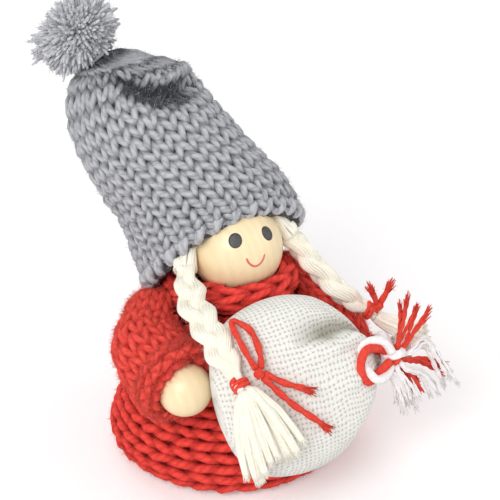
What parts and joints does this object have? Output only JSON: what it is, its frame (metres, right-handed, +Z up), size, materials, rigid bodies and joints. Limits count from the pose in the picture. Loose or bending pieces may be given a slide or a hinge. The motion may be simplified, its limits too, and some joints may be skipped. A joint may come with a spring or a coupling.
{
  "type": "decorative doll",
  "caption": "Standing craft doll with a wooden bead head, tall knitted hat, yarn braids, knitted dress with stuffed sleeves, and a tied linen sack in front.",
  "frame": {"origin": "centre of the flat wooden base, on the surface that the doll stands on", "axes": "+Z up, -Y the way the face looks, +X towards the doll's own left"},
  "size_m": [0.1038, 0.1232, 0.1431],
  "materials": {
    "wood": "smooth pale varnished wood",
    "grey_wool": "mid grey knitting wool, fuzzy",
    "red_wool": "bright red chunky knitting wool, fuzzy",
    "cream_yarn": "cream mercerised yarn",
    "red_yarn": "red yarn",
    "linen": "off-white open plain weave",
    "stuffing": "white fibre wad",
    "twisted_cord": "red and white yarn twisted together",
    "white_yarn": "white yarn",
    "steel_wire": "drawn wire"
  },
  "bodies": {
    "doll": {"base_disc": "wood", "dress": "red_wool", "body_stuffing": "stuffing", "neck_peg": "wood", "head_bead": "wood", "collar": "red_wool", "hat": "grey_wool", "hair_band": "cream_yarn", "hat_stuffing": "stuffing", "hat_gather_thread": "grey_wool", "pompom": "grey_wool", "sack_cloth": "linen", "sack_stuffing": "stuffing", "sack_tie": "twisted_cord", "sack_tie_knot": "twisted_cord", "sack_tie_loop": "twisted_cord", "sack_tie_red_strand_1": "red_yarn", "sack_tie_red_strand_2": "red_yarn", "sack_tie_red_strand_3": "red_yarn", "sack_tie_red_strand_4": "red_yarn", "sack_tie_white_strand_1": "white_yarn", "sack_tie_white_strand_2": "white_yarn", "sack_tie_white_strand_3": "white_yarn", "sack_tie_white_strand_4": "white_yarn"},
    "right_arm": {"right_sleeve": "red_wool", "right_cuff": "red_wool", "right_hand_bead": "wood", "right_arm_wire": "steel_wire"},
    "left_arm": {"left_sleeve": "red_wool", "left_cuff": "red_wool", "left_hand_bead": "wood", "left_arm_wire": "steel_wire"},
    "right_braid": {"right_braid": "cream_yarn", "right_braid_tie": "red_yarn", "right_bow_knot": "red_yarn", "right_bow_end_1": "red_yarn", "right_bow_end_2": "red_yarn", "right_bow_loop": "red_yarn", "right_tassel": "cream_yarn"},
    "left_braid": {"left_braid": "cream_yarn", "left_braid_tie": "red_yarn", "left_bow_knot": "red_yarn", "left_bow_end_1": "red_yarn", "left_bow_end_2": "red_yarn", "left_tassel": "cream_yarn"}
  },
  "joints": [
    {"name": "right_arm_swing", "type": "hinge", "parent": "doll", "child": "right_arm", "pos_m": [-0.025, 0.003, 0.048], "axis": [0, 0, -1], "range_deg": [0, 20]},
    {"name": "left_arm_swing", "type": "hinge", "parent": "doll", "child": "left_arm", "pos_m": [0.025, 0.003, 0.048], "axis": [0, 0, 1], "range_deg": [0, 20]},
    {"name": "right_braid_swing", "type": "hinge", "parent": "doll", "child": "right_braid", "pos_m": [-0.0186, -0.007, 0.07], "axis": [-0.9991, 0.042, 0], "range_deg": [0, 20]},
    {"name": "left_braid_swing", "type": "hinge", "parent": "doll", "child": "left_braid", "pos_m": [0.0208, -0.004, 0.0705], "axis": [-0.7696, -0.6385, 0], "range_deg": [0, 20]}
  ]
}
